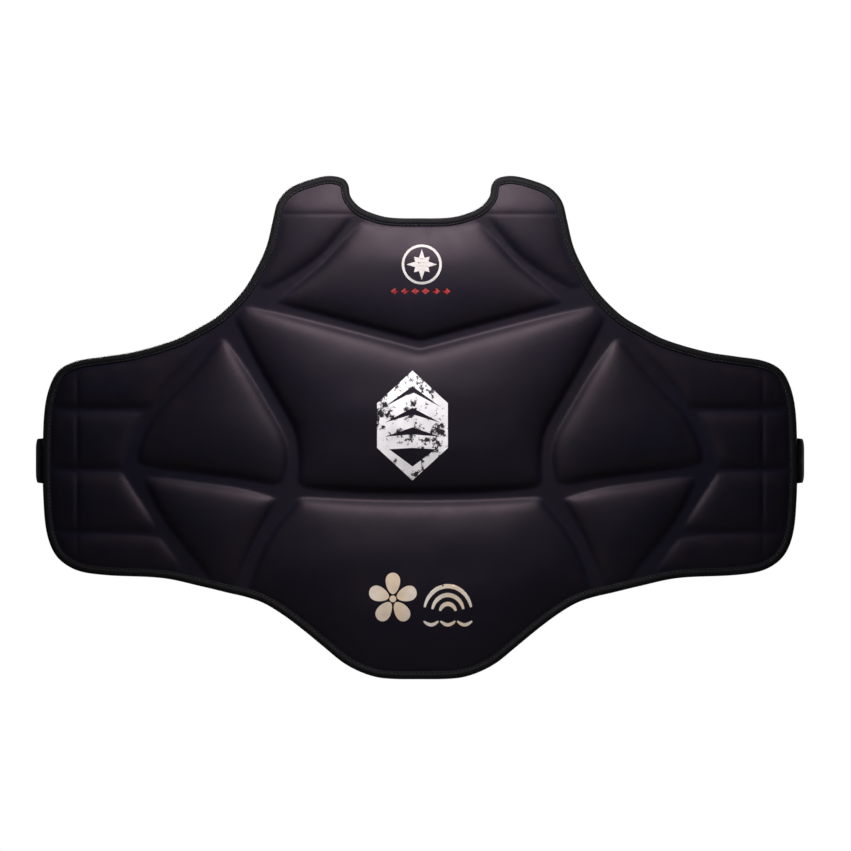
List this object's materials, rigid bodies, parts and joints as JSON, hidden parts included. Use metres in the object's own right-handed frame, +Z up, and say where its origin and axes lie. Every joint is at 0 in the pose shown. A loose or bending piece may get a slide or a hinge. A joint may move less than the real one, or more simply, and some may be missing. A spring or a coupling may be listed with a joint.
{
  "type": "chest protector",
  "caption": "Padded body guard for boxing and martial arts: moulded chest and belly pads on a foam sheet, folding side wings, folding shoulder flaps and hook-and-loop straps.",
  "frame": {"origin": "middle of the flat part of the inner, body side face of the lining", "axes": "+Y points out of the inner face towards the wearer, so the padded face looks along -Y; +Z is up as worn; +X is the wearer's left"},
  "size_m": [0.833, 0.1346, 0.542],
  "materials": {
    "face_skin": "satin PU leather, fine grain",
    "lining": "woven nylon",
    "backing_sheet": "closed-cell EVA foam sheet",
    "foam": "closed-cell foam",
    "binding": "folded binding tape, matt",
    "webbing": "elastic webbing",
    "hook_tape": "hook tape",
    "loop_tape": "brushed loop tape"
  },
  "bodies": {
    "torso": {"backing_sheet_torso": "backing_sheet", "binding_armhole_left": "binding", "binding_armhole_right": "binding", "binding_bottom": "binding", "binding_neck": "binding", "face_skin_torso": "face_skin", "foam_belly": "foam", "foam_center_chest": "foam", "foam_flank_1_left": "foam", "foam_flank_1_right": "foam", "foam_flank_2_left": "foam", "foam_flank_2_right": "foam", "foam_flank_3_left": "foam", "foam_flank_3_right": "foam", "foam_flank_4_left": "foam", "foam_flank_4_right": "foam", "foam_lower_side_left": "foam", "foam_lower_side_right": "foam", "foam_shoulder_left": "foam", "foam_shoulder_right": "foam", "foam_side_left": "foam", "foam_side_right": "foam", "foam_upper_chest": "foam", "lining_torso": "lining"},
    "shoulder_flap_left": {"binding_flap_left": "binding", "face_skin_flap_left": "face_skin", "foam_flap_left": "foam", "lining_flap_left": "lining"},
    "shoulder_flap_right": {"binding_flap_right": "binding", "face_skin_flap_right": "face_skin", "foam_flap_right": "foam", "lining_flap_right": "lining"},
    "shoulder_strap_left": {"hook_patch_shoulder_left": "hook_tape", "shoulder_strap_left": "webbing"},
    "shoulder_strap_right": {"hook_patch_shoulder_right": "hook_tape", "shoulder_strap_right": "webbing"},
    "waist_strap_left": {"hook_patch_waist_left": "hook_tape", "waist_strap_left": "webbing"},
    "waist_strap_right": {"loop_patch_waist_right": "loop_tape", "waist_strap_right": "webbing"},
    "wing_left": {"backing_sheet_wing_left": "backing_sheet", "binding_wing_left": "binding", "face_skin_wing_left": "face_skin", "foam_wing_1_left": "foam", "foam_wing_2_left": "foam", "foam_wing_3_left": "foam", "foam_wing_4_left": "foam", "lining_wing_left": "lining", "waist_strap_base_left": "webbing"},
    "wing_right": {"backing_sheet_wing_right": "backing_sheet", "binding_wing_right": "binding", "face_skin_wing_right": "face_skin", "foam_wing_1_right": "foam", "foam_wing_2_right": "foam", "foam_wing_3_right": "foam", "foam_wing_4_right": "foam", "lining_wing_right": "lining", "waist_strap_base_right": "webbing"}
  },
  "joints": [
    {"name": "wing_fold_left", "type": "hinge", "parent": "torso", "child": "wing_left", "pos_m": [0.321, 0.05183, -0.048], "axis": [0, 0, 1], "range_deg": [0, 75]},
    {"name": "waist_strap_swing_left", "type": "hinge", "parent": "wing_left", "child": "waist_strap_left", "pos_m": [0.4172, 0.10021, -0.0445], "axis": [0, 0, -1], "range_deg": [0, 170]},
    {"name": "shoulder_strap_lift_left", "type": "hinge", "parent": "shoulder_flap_left", "child": "shoulder_strap_left", "pos_m": [0.114, 0.00975, 0.2475], "axis": [1, 0, 0], "range_deg": [0, 150]},
    {"name": "shoulder_flap_fold_left", "type": "hinge", "parent": "torso", "child": "shoulder_flap_left", "pos_m": [0.114, 0.00768, 0.2295], "axis": [-1, 0, 0], "range_deg": [0, 75]},
    {"name": "wing_fold_right", "type": "hinge", "parent": "torso", "child": "wing_right", "pos_m": [-0.321, 0.05183, -0.048], "axis": [0, 0, -1], "range_deg": [0, 75]},
    {"name": "waist_strap_swing_right", "type": "hinge", "parent": "wing_right", "child": "waist_strap_right", "pos_m": [-0.4172, 0.10021, -0.0445], "axis": [0, 0, 1], "range_deg": [0, 170]},
    {"name": "shoulder_strap_lift_right", "type": "hinge", "parent": "shoulder_flap_right", "child": "shoulder_strap_right", "pos_m": [-0.114, 0.00975, 0.2475], "axis": [1, 0, 0], "range_deg": [0, 150]},
    {"name": "shoulder_flap_fold_right", "type": "hinge", "parent": "torso", "child": "shoulder_flap_right", "pos_m": [-0.114, 0.00768, 0.2295], "axis": [-1, 0, 0], "range_deg": [0, 75]}
  ],
  "couplings": [
    {"joint": "shoulder_flap_fold_left", "follows": "shoulder_strap_lift_left", "ratio": 0.5},
    {"joint": "shoulder_flap_fold_right", "follows": "shoulder_strap_lift_right", "ratio": 0.5}
  ]
}
